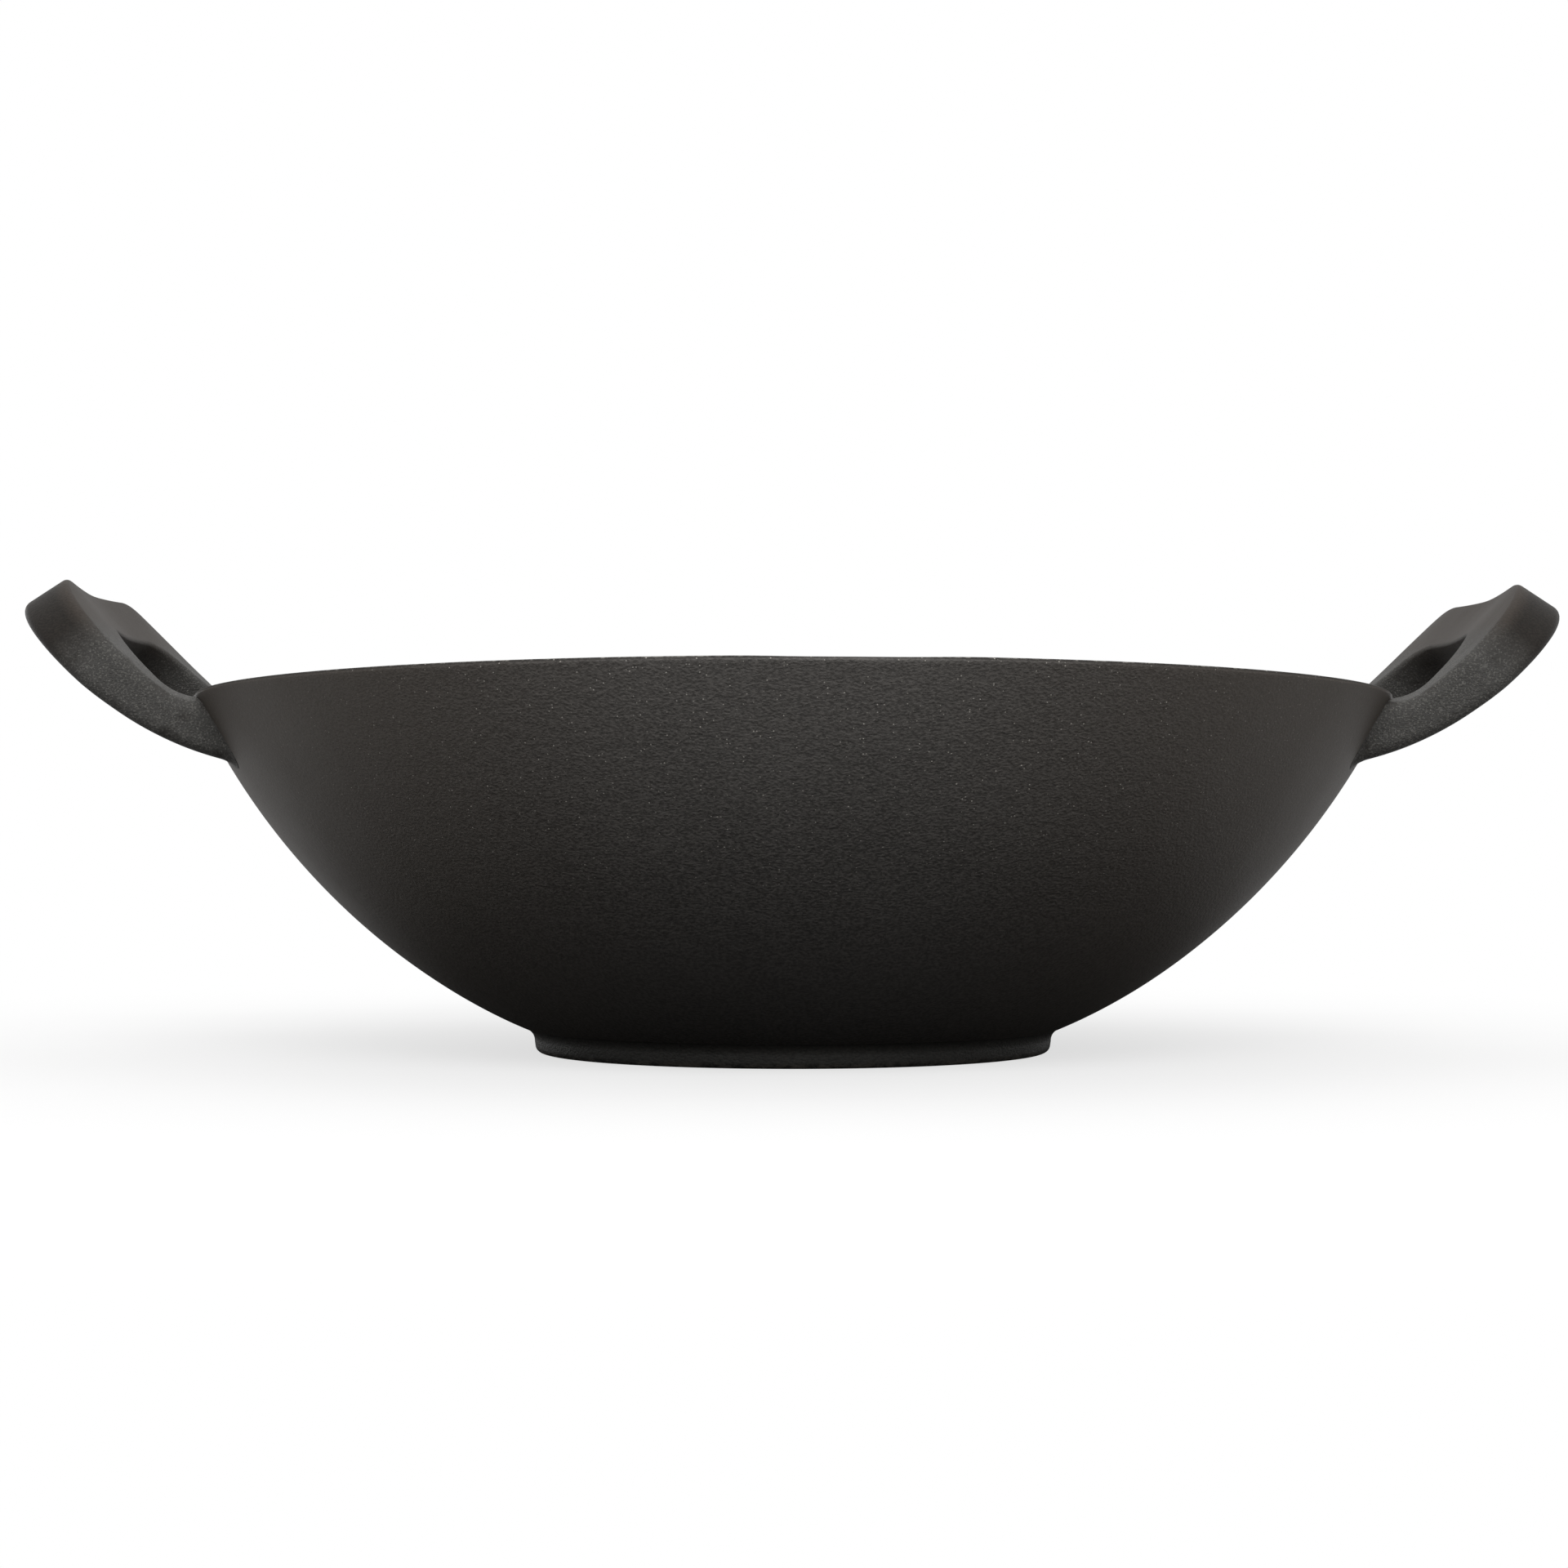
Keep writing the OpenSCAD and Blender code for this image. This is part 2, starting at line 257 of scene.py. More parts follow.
def band(finish, place, low_mm, high_mm):
    """Ramp between two places in mm."""
    return ramp(finish, place, low_mm * MM, high_mm * MM)


def blend(finish, share, a, b):
    """Colour that goes from a to b as share goes from 0 to 1."""
    return finish.node("ShaderNodeMix", {"data_type": "RGBA"}, {0: share, 6: a, 7: b}, 2)


def tone(colour):
    """sRGB colour from 0 to 255 as the linear colour that sockets take."""
    c = np.asarray(colour, float) / 255
    return (*np.where(c <= 0.04045, c / 12.92, ((c + 0.055) / 1.055) ** 2.4), 1)


def length_of(finish, vector):
    """Length of a vector socket."""
    return finish.node("ShaderNodeVectorMath", {"operation": "LENGTH"}, {0: vector}, 1)


def noise(finish, place, size_mm, detail=2.0, roughness=0.5):
    """Noise around 0.5 whose lumps are about size_mm wide."""
    return finish.node("ShaderNodeTexNoise", None, {
        "Vector": place, "Scale": 1 / (size_mm * MM), "Detail": detail, "Roughness": roughness})


class CastIron(Finish):
    """Seasoned cast iron: a leathery grain, faint mottling and painted glints, near-white specks
    that stand in for light caught by tiny bare facets.

    grain_mm is the grain's size, and the other argument the share of its cells that hold a painted
    glint. What it offers is mixed in each piece's own section."""

    # How much finer the grain is upwards, the peel's size in grains, and two more sizes
    FLATTEN = (1, 1, 1.7)
    PEEL_GRAINS, MOTTLE_MM, FACET_MM = 4, 38, 0.8

    def __init__(self, name, grain_mm, glint_share):
        super().__init__(bpy.data.materials.new(name))
        self.place = self.node("ShaderNodeTexCoord", out=3)
        flat = self.node("ShaderNodeVectorMath", {"operation": "MULTIPLY"},
                         {0: self.place, 1: self.FLATTEN})
        self.grain = noise(self, flat, grain_mm, 3.0, 0.55)
        self.peel = noise(self, flat, self.PEEL_GRAINS * grain_mm)
        self.mottle = noise(self, self.place, self.MOTTLE_MM, 3.0, 0.55)
        # Painted glints: a share of small cells gets a near-white mark
        cells = {"Vector": self.place, "Scale": 1 / (self.FACET_MM * MM), "Randomness": 1.0}
        middle = self.node("ShaderNodeTexVoronoi", {"feature": "F1"}, cells)
        pick = self.node("ShaderNodeTexVoronoi", {"feature": "F1"}, cells, 1)
        pick = self.node("ShaderNodeSeparateColor", None, {"Color": pick})
        picked = ramp(self, pick, 1 - glint_share, 1 - 0.5 * glint_share)
        self.painted_glint = (1 - ramp(self, middle, 0.1, 0.28)) * picked

    def along(self, axis):
        """Place along an axis, 0 to 2, in metres."""
        return self.node("ShaderNodeSeparateXYZ", None, {0: self.place}, axis)

    def marked(self, name):
        """The value that mark() gave the piece's vertices."""
        return self.node("ShaderNodeAttribute", {"attribute_name": name}, out=2)

    def shade(self):
        """How light the grain and the mottling leave the surface, from 0 to 1."""
        return (0.8 * ramp(self, self.grain, 0.34, 0.66) + 0.1 * ramp(self, self.peel, 0.3, 0.7)
                + 0.1 * ramp(self, self.mottle, 0.34, 0.68))

    def height(self, grain_h, peel_h):
        """Relief in mm of a grain and of a coarser peel."""
        return grain_h * self.grain + peel_h * self.peel

    def rough(self, level):
        """Roughness that the mottling varies around a level."""
        return level + 0.16 * (self.mottle - 0.5)

    def surface(self, colour, rough, height, shine):
        """The finished material."""
        bump = self.node("ShaderNodeBump", None,
                         {"Strength": 1.0, "Distance": MM, "Height": height})
        iron = self.node("ShaderNodeBsdfPrincipled", None, {
            "Base Color": colour, "Roughness": rough, "Normal": bump, "Specular IOR Level": shine})
        self.node("ShaderNodeOutputMaterial", None, {"Surface": iron})
        return self.owner


BOWL_DARK, BOWL_LIGHT, BOWL_WARM = tone((47, 45, 43)), tone((93, 90, 87)), tone((67, 58, 49))
COOKING_DARK, COOKING_LIGHT = tone((38, 35, 32)), tone((60, 55, 50))
# Colours of the rim edge's darker band, of its worn specks with painted glints, and of the painted
# glints on the wall
DARK_RIM_EDGE, WORN_AND_GLINT_IRON, GLINT_WHITE = tone((22, 20, 18)), tone((128, 125, 119)), tone((205, 200, 192))
OIL_MM, TURNING_MM, SPECK_MM = 14, 0.7, 1.6
iron = CastIron("seasoned_cast_iron", grain_mm=0.95, glint_share=0.13)
inside = iron.marked("cooking_side")
sideways, depth, height_up = abs(iron.along(0)), abs(iron.along(1)), iron.along(2)
# The cooking side is turned smooth, and oil has dried on it in patches
across = iron.node("ShaderNodeVectorMath", {"operation": "MULTIPLY"}, {0: iron.place, 1: (1, 1, 0)})
radius = length_of(iron, across)
turning = iron.node("ShaderNodeTexNoise", {"noise_dimensions": "1D"},
                    {"W": radius, "Scale": 1 / (TURNING_MM * MM), "Detail": 3.0})
oil = noise(iron, iron.place, OIL_MM, 4.0, 0.6)
cooking = blend(iron, 0.7 * oil + 0.3 * turning, COOKING_DARK, COOKING_LIGHT)
# The rim's top edge is darker. Stirring tools have worn it to bare specks, and painted glints of
# light caught on its rounded edge join them, standing closest at its near and far ends
brim = band(iron, height_up, RIM_H - 0.9, RIM_H - 0.4)
speck = noise(iron, iron.place, SPECK_MM, 3.0, 0.65) + 0.14 * band(iron, depth, 110, 176)
worn_and_lit = band(iron, height_up, RIM_H - 0.5, RIM_H - 0.15) * ramp(iron, speck, 0.56, 0.8)
# The grain is coarser on the near and far walls than by the handles and low down
relief = ((1 - 0.78 * band(iron, sideways, 70, 150))
          * (0.6 + 0.4 * band(iron, height_up, 15, 60)))
# Painted shade: the colour is darker low down, for the shade under the bowl, and darker towards the
# handles near the rim, for the front light's fall-off to the sides. Low down the sides are painted
# a little lighter than the middle, a painted highlight of light grazing from behind. The sides are
# warmer
painted_low_shade = 1 - band(iron, height_up, 5, 115)
side_shade_and_tint = band(iron, sideways, 15, 135)
light = 0.72 - 0.5 * painted_low_shade - side_shade_and_tint * (0.48 - 0.58 * painted_low_shade)
light = light + (0.12 + 0.6 * relief) * (iron.shade() - 0.5)
colour = blend(iron, light, BOWL_DARK, BOWL_LIGHT)
colour = blend(iron, 0.5 * side_shade_and_tint, colour, BOWL_WARM)
colour = blend(iron, inside, colour, cooking)
colour = blend(iron, 0.7 * brim, colour, DARK_RIM_EDGE)
colour = blend(iron, 0.8 * worn_and_lit, colour, WORN_AND_GLINT_IRON)
# Painted highlight: near-white glints on the outer wall, from 30 mm up and most on the near and far
# walls, stand in for light caught by the grain
painted_glint = iron.painted_glint * (1 - inside) * relief * band(iron, height_up, 30, 75)
colour = blend(iron, 0.7 * painted_glint, colour, GLINT_WHITE)
rough = iron.rough(0.6) + 0.3 * brim - 0.4 * worn_and_lit + inside * (0.3 * oil - 0.2)
height = (1 - 0.8 * inside) * relief * iron.height(0.3, 0.17) + inside * (0.04 * turning)
bowl.data.materials.append(iron.surface(colour, rough, height, 0.34))
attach(bowl, "root")
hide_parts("bowl")

# The foot
# A low solid ring of the same casting that the wok stands on. A hollow blend carries its side up
# into the wall, its lower edge is rounded, and inside it the base is set back by a shallow recess.
FOOT_R, FOOT_TAPER = 77.8, 0.5
# Radii of the blend into the wall and of the lower edge, then those of the recess and its draft
BLEND_R, FOOT_EDGE_R = 4.0, 2.2
INNER_EDGE_R, RECESS_BLEND_R, RECESS_DRAFT = 0.9, 1.0, 0.35
BLEND_ROWS, FOOT_EDGE_ROWS, FOOT_FLAT_ROWS = 16, 14, 14


def wall_height(radius):
    """Height of the outer wall at a radius."""
    return np.interp(radius, outer[::-1, 0], outer[::-1, 1])


blend_end_r = FOOT_R + BLEND_R
blend_slope = np.arctan((wall_height(blend_end_r) - wall_height(FOOT_R)) / BLEND_R)
blend_centre = np.array([blend_end_r, wall_height(blend_end_r) - BLEND_R / np.cos(blend_slope)])
turn = np.linspace(np.pi, np.pi / 2 + blend_slope, BLEND_ROWS)
hollow = blend_centre + BLEND_R * np.stack([np.cos(turn), np.sin(turn)], 1)
side_way = np.array([FOOT_TAPER, hollow[0, 1]]) / np.hypot(FOOT_TAPER, hollow[0, 1])
foot_lower = turn_corner([FOOT_R - FOOT_TAPER, 0], [-1, 0], side_way, FOOT_EDGE_R, FOOT_EDGE_ROWS)
draft_way = np.array([-RECESS_DRAFT, BASE_H]) / np.hypot(RECESS_DRAFT, BASE_H)
foot_inner = turn_corner([BASE_R, 0], draft_way, [1, 0], INNER_EDGE_R, EDGE_ROWS)
recess_corner = [BASE_R - RECESS_DRAFT, BASE_H]
recess = turn_corner(recess_corner, [-1, 0], [0, -1], RECESS_BLEND_R, EDGE_ROWS)
standing = level(foot_inner[-1, 0], foot_lower[0, 0], 0, FOOT_FLAT_ROWS)[1:-1]
# Four rows inside the bowl's wall and base, where the two pieces are one casting
sunk_r = blend_end_r + 0.6
sunk = [[sunk_r, wall_height(sunk_r) + 0.25], [blend_end_r - 3, 9.2], [BASE_R, 4.2],
        [BASE_R - 2.2, BASE_H + 0.6]]
foot_profile = np.concatenate([recess, foot_inner, standing, foot_lower, hollow, sunk])
foot = grid_mesh("foot_casting", spun(foot_profile, BOWL_COLUMNS), along=True)
# The foot's tones are the iron's painted darker: painted shade under the bowl's overhang
FOOT_SHADED_DARK, FOOT_SHADED_LIGHT, FOOT_WORN_AND_LIT = tone((29, 28, 26)), tone((44, 43, 40)), tone((104, 99, 92))
iron = CastIron("seasoned_cast_iron_foot", grain_mm=0.9, glint_share=0.1)
# Standing on burners has rubbed the seasoning off the ring's lower edge, and that edge is also
# painted lighter than the shaded side above it, as painted light
worn_and_lit = (1 - band(iron, iron.along(2), 0.15, 1.9)) * ramp(iron, iron.peel, 0.42, 0.62)
colour = blend(iron, iron.shade(), FOOT_SHADED_DARK, FOOT_SHADED_LIGHT)
colour = blend(iron, 0.45 * worn_and_lit, colour, FOOT_WORN_AND_LIT)
rough = iron.rough(0.62) - 0.08 * worn_and_lit
foot.data.materials.append(iron.surface(colour, rough, iron.height(0.2, 0.1), 0.36))
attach(foot, "root")
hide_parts("foot_ring")

# The loop handles
# Two solid loops of the same casting, one at each end of the X axis. Each leaves the wall under
# the rim, sweeps up and is closed by a grip, and a fillet carries every arm into the wall.
# The arms' height and half width at the wall, and how far they spread from there
ROOT_H, HALF_W, ARM_SPREAD = 90.4, 57.0, 5.4
# Lengths of the loop and of its lower arc, and the rise in degrees at the arcs' ends
LOOP_LEN, LOWER_LEN = 73.5, 29.0
ROOT_RISE, MID_RISE, TIP_RISE = 18.0, 38.5, 51.5
# Elliptic corners of the outside and of the hole, and widths of an arm and of the grip
CORNER_LEN, CORNER_W = 35.8, 30.8
HOLE_CORNER_LEN, HOLE_CORNER_W = 42.0, 30.0
ARM_W, GRIP_W = 11.0, 20.0
# Thickness at the root, half way and at the grip, and radii of the upper edges and the lower one
LOOP_T = (9.6, 14.3, 16.2)
ROOT_EDGE_R, ARM_EDGE_R, TOP_EDGE_R, LOW_EDGE_R = 4.0, 3.4, 1.5, 3.6
# The dip in the grip's top and how far it runs out, and the outer side's lean in degrees
GRIP_DIP, DIP_RUN_OUT, SIDE_LEAN = 2.1, 10.0, 6.0
ROOT_FILLET_H, ROOT_FILLET_LEN, SIDE_FILLET_R = 5.6, 9.0, 2.6
LOOP_WAVE_H, LOOP_WAVE_LEN, LOOP_WAVE_FADE, BURIED_H = 0.12, 26, 6, 1.2
# Rows along the half loop, and steps round a corner and over a flat of its section
LOOP_ROWS, ROW_CROWDING, SECTION_STEPS, FLAT_STEPS = 170, 1.25, 10, 6
# Where the arm's coarse grain starts to fade, and where the grip's smooth one takes over
COARSE_FADE = (42.0, 56.0)
ARM_END, HOLE_TIP, GRIP_MID = LOOP_LEN - CORNER_LEN, LOOP_LEN - GRIP_W, LOOP_LEN - GRIP_W / 2
HOLE_END = HOLE_TIP - HOLE_CORNER_LEN
root_x = np.sqrt(np.interp(ROOT_H, outer[::-1, 1], outer[::-1, 0]) ** 2 - HALF_W ** 2)


def slab(a):
    """Middle of the loop's thickness at distance a along it: x, height and rise.

    Two tangent arcs: the rise grows evenly along each, and x and height add up its cosine and
    its sine."""
    before, past, steps = 40, 10, 1001
    s = np.linspace(-before, LOOP_LEN + past, steps)
    rise = np.radians(np.interp(s, [0, LOWER_LEN, LOOP_LEN], [ROOT_RISE, MID_RISE, TIP_RISE]))
    step = s[1] - s[0]
    x = np.concatenate([[0], np.cumsum(np.cos((rise[1:] + rise[:-1]) / 2) * step)])
    z = np.concatenate([[0], np.cumsum(np.sin((rise[1:] + rise[:-1]) / 2) * step)])
    x, z = x - np.interp(0, s, x) + root_x, z - np.interp(0, s, z) + ROOT_H
    return np.interp(a, s, x), np.interp(a, s, z), np.interp(a, s, rise)


def outline(u, half_w, spread, corner_a, split_a, size):
    """Near half of an outline on the slab, for u from -1 to 3: behind the wall, arm, corner, grip.

    The arm spreads by a width up to corner_a, where an elliptic corner of a size starts. The arm's
    stretch of u ends at split_a. Returns distances along and across the slab."""
    end_w = half_w + spread
    arm_a = np.where(u < 0, ARM_END, split_a) * np.clip(u, -1, 1)
    first = np.arcsin((split_a - corner_a) / size[0])
    angle = first + (np.pi / 2 - first) * np.clip(u - 1, 0, 1)
    into = np.clip((arm_a - corner_a) / size[0], 0, 1)
    bend = np.where(u < 1, 1 - np.sqrt(1 - into ** 2), 1 - np.cos(angle))
    a = np.where(u < 1, arm_a, corner_a + size[0] * np.sin(angle))
    b = -end_w + spread * (1 - np.clip(arm_a / corner_a, 0, 1)) + size[1] * bend
    return a, b + (end_w - size[1]) * np.clip(u - 2, 0, 1)


def wall_gap(p):
    """Distance of points from the bowl's outer wall, square to it and level, and the way out."""
    radius = np.hypot(p[..., 0], p[..., 1])
    heights, radii = outer[::-1, 1], outer[::-1, 0]
    lean = np.arctan2(-outer_way[::-1, 0], -outer_way[::-1, 1])
    at = np.interp(p[..., 2], heights, lean)
    over_rim = np.clip(p[..., 2] - RIM_H, 0, None)
    gap = radius - np.interp(p[..., 2], heights, radii) - over_rim * np.tan(at)
    level_way = p[..., :2] / radius[..., None] * np.cos(at)[..., None]
    out = np.concatenate([level_way, -np.sin(at)[..., None]], -1)
    return gap * np.cos(at), gap, out


def section_table():
    """The rounded section, a column for each of its points, as seven rows.

    The rows are the signs of the point's corner sideways and up, the direction of its arc across
    and up, its share of the flat to the next corner, and that corner's two signs."""
    signs = [(1, 1), (-1, 1), (-1, -1), (1, -1)]
    points = []
    for k, (side, up) in enumerate(signs):
        angles = np.radians(90 * k + 90 * np.linspace(0, 1, SECTION_STEPS + 1))
        points += [(side, up, np.cos(q), np.sin(q), 0, side, up) for q in angles]
        last = np.cos(angles[-1]), np.sin(angles[-1])
        flat = np.linspace(0, 1, FLAT_STEPS + 1)[1:-1]
        points += [(side, up, *last, share, *signs[(k + 1) % 4]) for share in flat]
    return np.array(points, float).T


SECTION = section_table()


def loop_surface(u):
    """The near half of the loop's skin at u of [rows, columns], with columns round the section.

    The outside line and the hole's line of the slab give the section's middle and half width, its
    corners are rounded, its outer side leans, the grip's top dips and a fillet rises at the wall.
    Returns the points, the section's outward normals, how far each point is up the top, and its
    distance along the loop."""
    side, up, arc_across, arc_up, share, next_side, next_up = SECTION
    ao, bo = outline(u, HALF_W, ARM_SPREAD, ARM_END, ARM_END, (CORNER_LEN, CORNER_W))
    ai, bi = outline(u, HALF_W - ARM_W, ARM_SPREAD * HOLE_END / ARM_END, HOLE_END,
                     HOLE_TIP * ARM_END / LOOP_LEN, (HOLE_CORNER_LEN, HOLE_CORNER_W))
    half_w = np.hypot(ao - ai, bo - bi) / 2
    across_a, across_b = (ao - ai) / (2 * half_w), (bo - bi) / (2 * half_w)
    ac, bc = (ao + ai) / 2, (bo + bi) / 2
    half_t = np.interp(ac, [0, LOOP_LEN / 2, GRIP_MID], LOOP_T) / 2
    top_r = np.interp(ac, [0, ARM_END, GRIP_MID], [ROOT_EDGE_R, ARM_EDGE_R, TOP_EDGE_R])

    def rounded(side, up):
        r = np.where(up > 0, top_r, LOW_EDGE_R)
        return side * (half_w - r) + r * arc_across, up * (half_t - r) + r * arc_up

    off, h = rounded(side, up)
    next_off, next_h = rounded(next_side, next_up)
    off, h = off + (next_off - off) * share, h + (next_h - h) * share
    off = off - np.where(off > 0, off / half_w, 0) * h * np.tan(np.radians(SIDE_LEAN))
    a, b = ac + off * across_a, bc + off * across_b
    top = np.clip(h / half_t, 0, 1)
    dip_fade = np.clip((a - HOLE_TIP + GRIP_W / 2) / (GRIP_W / 2), 0, 1)
    dip_half_w = HALF_W + ARM_SPREAD - CORNER_W + DIP_RUN_OUT
    dip = GRIP_DIP * np.clip(1 - (b / dip_half_w) ** 2, 0, 1) ** 2 * dip_fade
    x, z, rise = slab(a)
    sin, cos = np.sin(rise), np.cos(rise)
    _, gap, _ = wall_gap(np.stack([x - h * sin, b, z + h * cos], -1))
    fillet = ROOT_FILLET_H * np.clip(1 - np.clip(gap, 0, None) / ROOT_FILLET_LEN, 0, 1) ** 2
    h = h - top * dip + np.clip(2 * top, 0, 1) * fillet
    point = np.stack([x - h * sin, b, z + h * cos], -1)
    normal = np.stack([arc_across * across_a * cos - arc_up * sin, arc_across * across_b,
                       arc_across * across_a * sin + arc_up * cos], -1)
    return point, normal, top, a


def loop_half():
    """The near half loop from its fillet on the wall to the grip's middle, as rows of sections.

    Returns the points, their distances along the loop and how far each is up the top."""
    columns = SECTION.shape[1]
    # Halving finds the u at which each of the section's lines leaves the wall
    low, high = np.full((1, columns), -0.6), np.full((1, columns), 1.0)
    for _ in range(40):
        mid = (low + high) / 2
        inside = wall_gap(loop_surface(mid)[0])[0] < 0
        low, high = np.where(inside, mid, low), np.where(inside, high, mid)
    u = high + (3 - high) * np.linspace(0, 1, LOOP_ROWS)[:, None] ** ROW_CROWDING
    point, normal, top, a = loop_surface(u)
    # The side fillet swells the section near the wall, at an unchanged distance from the wall
    gap = wall_gap(point)[0]
    near = np.clip(SIDE_FILLET_R - gap, 0, SIDE_FILLET_R)
    swell = SIDE_FILLET_R - np.sqrt(np.clip(SIDE_FILLET_R ** 2 - near ** 2, 0, None))
    swell = swell * (1 - np.clip(2 * top, 0, 1))
    skin = point + swell[..., None] * normal
    for _ in range(3):
        now, _, out = wall_gap(skin)
        skin = skin + np.where(swell > 0, gap - now, 0)[..., None] * out
    last, _, out = wall_gap(skin[:1])
    buried = skin[:1] - (BURIED_H + last)[..., None] * out
    skin[0] -= 0.03 * out[0]
    # Waves of the casting only take iron away, along the section's normal
    waves = LOOP_WAVE_H * (0.25 + cast_waves(skin, LOOP_WAVE_LEN, seed=11))
    waves = waves * np.clip(gap / LOOP_WAVE_FADE, 0, 1)
    skin = skin - waves[..., None] * normal
    return (np.concatenate(pair) for pair in ([buried, skin], [a[:1], a], [top[:1], top]))


near_half, near_a, near_top = loop_half()
loop_grid = np.concatenate([near_half, near_half[::-1][1:] * [1, -1, 1]])[:, ::-1]
loop_a, loop_top = (np.concatenate([v, v[::-1][1:]])[:, ::-1] for v in (near_a, near_top))


def loop_handle(name, side, droop):
    """One loop, mirrored to its side, closed by caps that are buried in the wall.

    No two castings are alike: the loop is lowered in step with its distance along, by droop mm at
    the tip."""
    grid, along, top = (values[:, ::side] for values in (loop_grid, loop_a, loop_top))
    grid = grid * [side, 1, 1] - droop * np.clip(along / LOOP_LEN, 0, 1)[..., None] * [0, 0, 1]
    piece = grid_mesh(name, grid, [grid[0].mean(0), grid[-1].mean(0)])
    # 1 on the arms, where the sand left a coarse grain, and 0 on the grip
    mark(piece, "coarse", np.append(np.interp(along, COARSE_FADE, [1, 0]), [1, 1]))
    mark(piece, "top", np.append(top, [0, 0]))
    return piece


HANDLE_DARK, HANDLE_LIGHT = tone((27, 24, 21)), tone((63, 57, 52))
ARM_GREY, SPECKLE_AND_GLINT = tone((71, 70, 68)), tone((128, 126, 121))
PATCH_MM, SPECKLE_MM = 9, 0.6
iron = CastIron("seasoned_cast_iron_handle", grain_mm=0.8, glint_share=0.6)
arm = iron.marked("coarse")
coarse = arm * ramp(iron, noise(iron, iron.place, PATCH_MM, 3.0, 0.6), 0.2, 0.48)
# Painted light: the loop's top is lighter, most on the grip, for the light from above
painted_top_light = ramp(iron, iron.marked("top"), 0.3, 0.9) * (1 - 0.7 * arm)
colour = blend(iron, 0.3 * iron.shade() + 0.65 * painted_top_light, HANDLE_DARK, HANDLE_LIGHT)
colour = blend(iron, coarse * (0.8 + 0.2 * iron.shade()), colour, ARM_GREY)
# The arms' coarse grain has light specks, and painted glints among them stand in for light caught
# by the grain
speckle = ramp(iron, noise(iron, iron.place, SPECKLE_MM, 1.0, 0.5), 0.52, 0.66)
colour = blend(iron, coarse * (0.3 * speckle + 0.6 * iron.painted_glint), colour, SPECKLE_AND_GLINT)
height = (0.3 + coarse) * iron.height(0.3, 0.12)
handle_iron = iron.surface(colour, iron.rough(0.58), height, 0.16)
for name, side, droop in (("left_handle", -1, 0.3), ("right_handle", 1, 1.2)):
    handle = loop_handle(name + "_casting", side, droop)
    handle.data.materials.append(handle_iron)
    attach(handle, "root")
    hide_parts(name)

# The floor and the light
# A plain white floor that fades into a white background and keeps the wok's shadow. A soft key
# light from behind the camera, an overhead softbox and two low panels behind light the wok.
FLOOR_HALF, FLOOR_Z = 4000.0, -0.05
# The backdrop in reflections, the sky's light on the wok, and how far the shadow is lifted
REFLECTED, AMBIENT, SHADOW_LIFT = 0.74, 0.74, 0.68
# The floor's colour for the camera, and for the light that it throws back up
FLOOR_SEEN, FLOOR_BOUNCE = (0.92, 0.92, 0.92, 1), (0.08, 0.08, 0.08, 1)
# Distances from the wok's middle in metres, over which the shadow fades out, reflections get
# bright, and the floor begins under the foot
SHADOW_FADE, GLARE_FADE, FOOT_GAP = (0.19, 0.5), (0.17, 0.42), (0.0735, 0.0745)
sides = [-FLOOR_HALF, FLOOR_HALF]
floor_grid = np.stack([*np.meshgrid(sides, sides), np.full((2, 2), FLOOR_Z)], -1)[:, ::-1]
floor = grid_mesh("floor", floor_grid, around=False)


def backdrop_seen(finish):
    """1 for rays from the camera, less for reflections, which see a dimmer backdrop, else 0."""
    camera, glossy, clear = (finish.node("ShaderNodeLightPath", out=out) for out in (0, 3, 6))
    return camera.maths("MAXIMUM", camera, REFLECTED * glossy.maths("MAXIMUM", glossy, clear))


white = Finish(bpy.data.materials.new("white_floor"))
spot = white.node("ShaderNodeTexCoord", out=3)
out_to = length_of(white, spot)
camera_ray = white.node("ShaderNodeLightPath")
paint = white.node("ShaderNodeBsdfDiffuse", None,
                   {"Color": blend(white, camera_ray, FLOOR_BOUNCE, FLOOR_SEEN)})
glow = white.node("ShaderNodeEmission", None, {"Color": (1, 1, 1, 1), "Strength": 1.0})
# Reflections see a dark floor close to the wok, more so in front, and the white backdrop beyond
ahead = white.node("ShaderNodeVectorMath", {"operation": "MULTIPLY_ADD"},
                   {0: spot, 1: (1.4, 1, 1), 2: (0, 0.06, 0)})
bright = backdrop_seen(white) * ramp(white, length_of(white, ahead), *GLARE_FADE)
share = camera_ray * ramp(white, out_to, *SHADOW_FADE) + (1 - camera_ray) * bright
share = share + (1 - share) * SHADOW_LIFT * camera_ray
surface = white.node("ShaderNodeMixShader", None, {0: share, 1: paint, 2: glow})
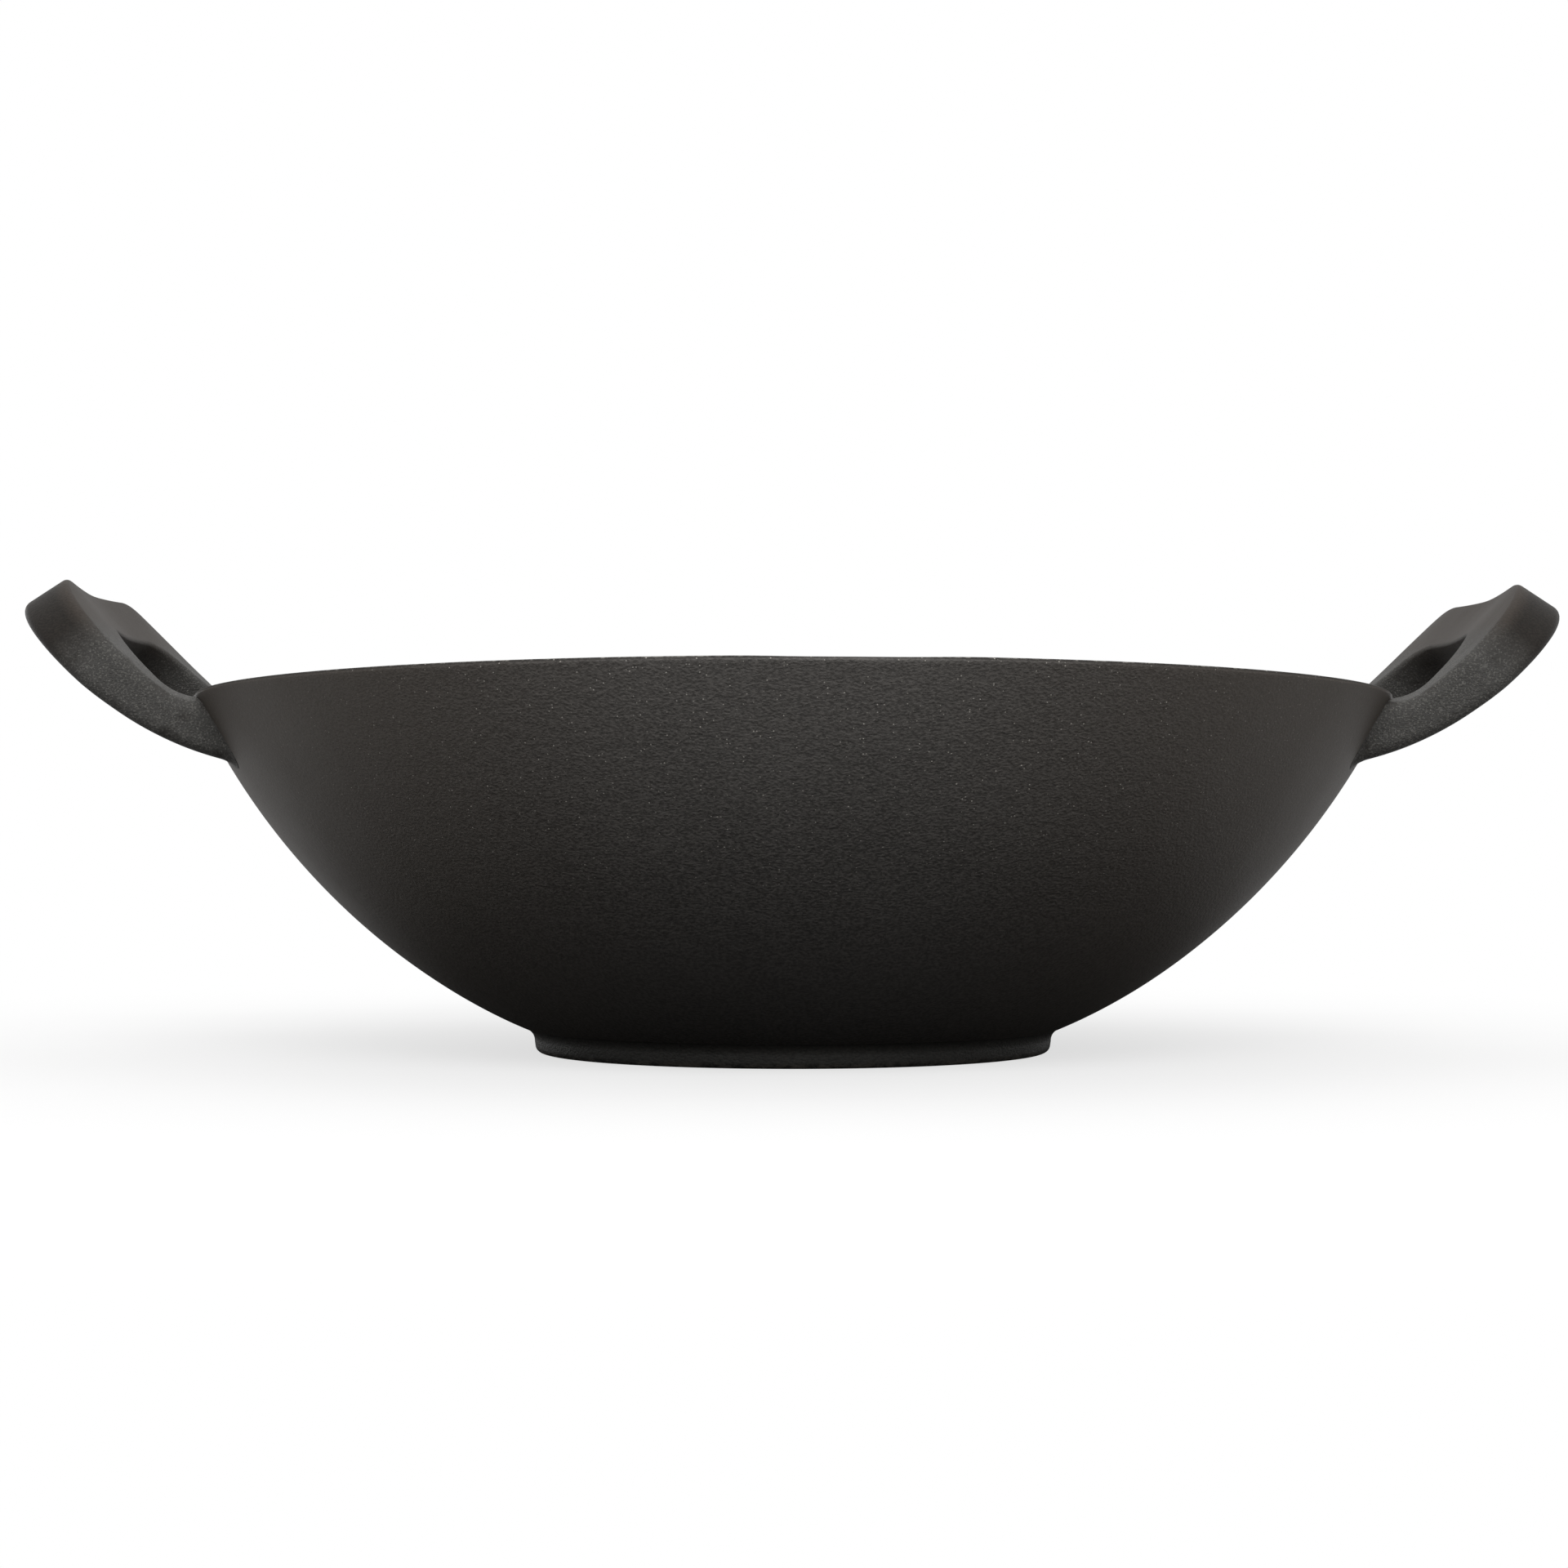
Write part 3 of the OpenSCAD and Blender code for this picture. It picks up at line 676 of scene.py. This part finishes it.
# Seen from below the floor is clear, and under the foot it lets light through, so that the wok's
# underside can be seen
below = white.node("ShaderNodeNewGeometry", out=6)
below = below.maths("MAXIMUM", below, 1 - ramp(white, out_to, *FOOT_GAP))
surface = white.node("ShaderNodeMixShader", None,
                     {0: below, 1: surface, 2: white.node("ShaderNodeBsdfTransparent")})
white.node("ShaderNodeOutputMaterial", None, {"Surface": surface})
floor.data.materials.append(white.owner)

bpy.context.scene.world = bpy.data.worlds.new("studio")
studio = Finish(bpy.context.scene.world)
strength = AMBIENT + (1 - AMBIENT) * backdrop_seen(studio)
sky = studio.node("ShaderNodeBackground", None, {"Color": (1, 1, 1, 1), "Strength": strength})
studio.node("ShaderNodeOutputWorld", None, {"Surface": sky})


def softbox(name, place, size, power):
    """Area lamp at a place, turned to face the middle of the wok."""
    wok_middle = np.array([0, 0, 0.06])
    data = bpy.data.lights.new(name, "AREA")
    data.shape, data.size, data.size_y, data.energy = "RECTANGLE", size[0], size[1], power
    lamp = bpy.data.objects.new(name, data)
    bpy.context.scene.collection.objects.link(lamp)
    lamp.location = place
    aim = wok_middle - np.array(place)
    yaw, pitch = np.arctan2(aim[1], aim[0]), np.arctan2(aim[2], np.hypot(aim[0], aim[1]))
    lamp.rotation_euler = (np.pi / 2 + pitch, 0, yaw - np.pi / 2)


# Each lamp's place and size are in metres, and its power in watts
softbox("key_softbox", (0.1, -1.6, 1.1), (1.1, 0.9), 18)
softbox("overhead_softbox", (0, 0.2, 1.7), (1.4, 1.4), 3)
softbox("left_rim_panel", (-1.1, 1.2, 0.15), (0.5, 0.8), 3)
softbox("right_rim_panel", (1.1, 1.2, 0.15), (0.5, 0.8), 1)

# The camera
# Where the photograph was taken from: 55 mm above the surface, 0.80 m in front, looking 2 degrees
# up. The place and lens come from the rim's and the foot's ellipses in the photograph.
lens = bpy.data.cameras.new("camera")
lens.lens, lens.sensor_width, lens.clip_start = 60.18, 36, 0.01
camera = bpy.data.objects.new("camera", lens)
bpy.context.scene.collection.objects.link(camera)
camera.location = (-0.01254, -0.79622, 0.05457)
camera.rotation_euler = (np.radians(90 + 1.8765), 0, np.radians(-0.7116))
bpy.context.scene.camera = camera

bpy.context.scene.view_settings.view_transform = "Standard"
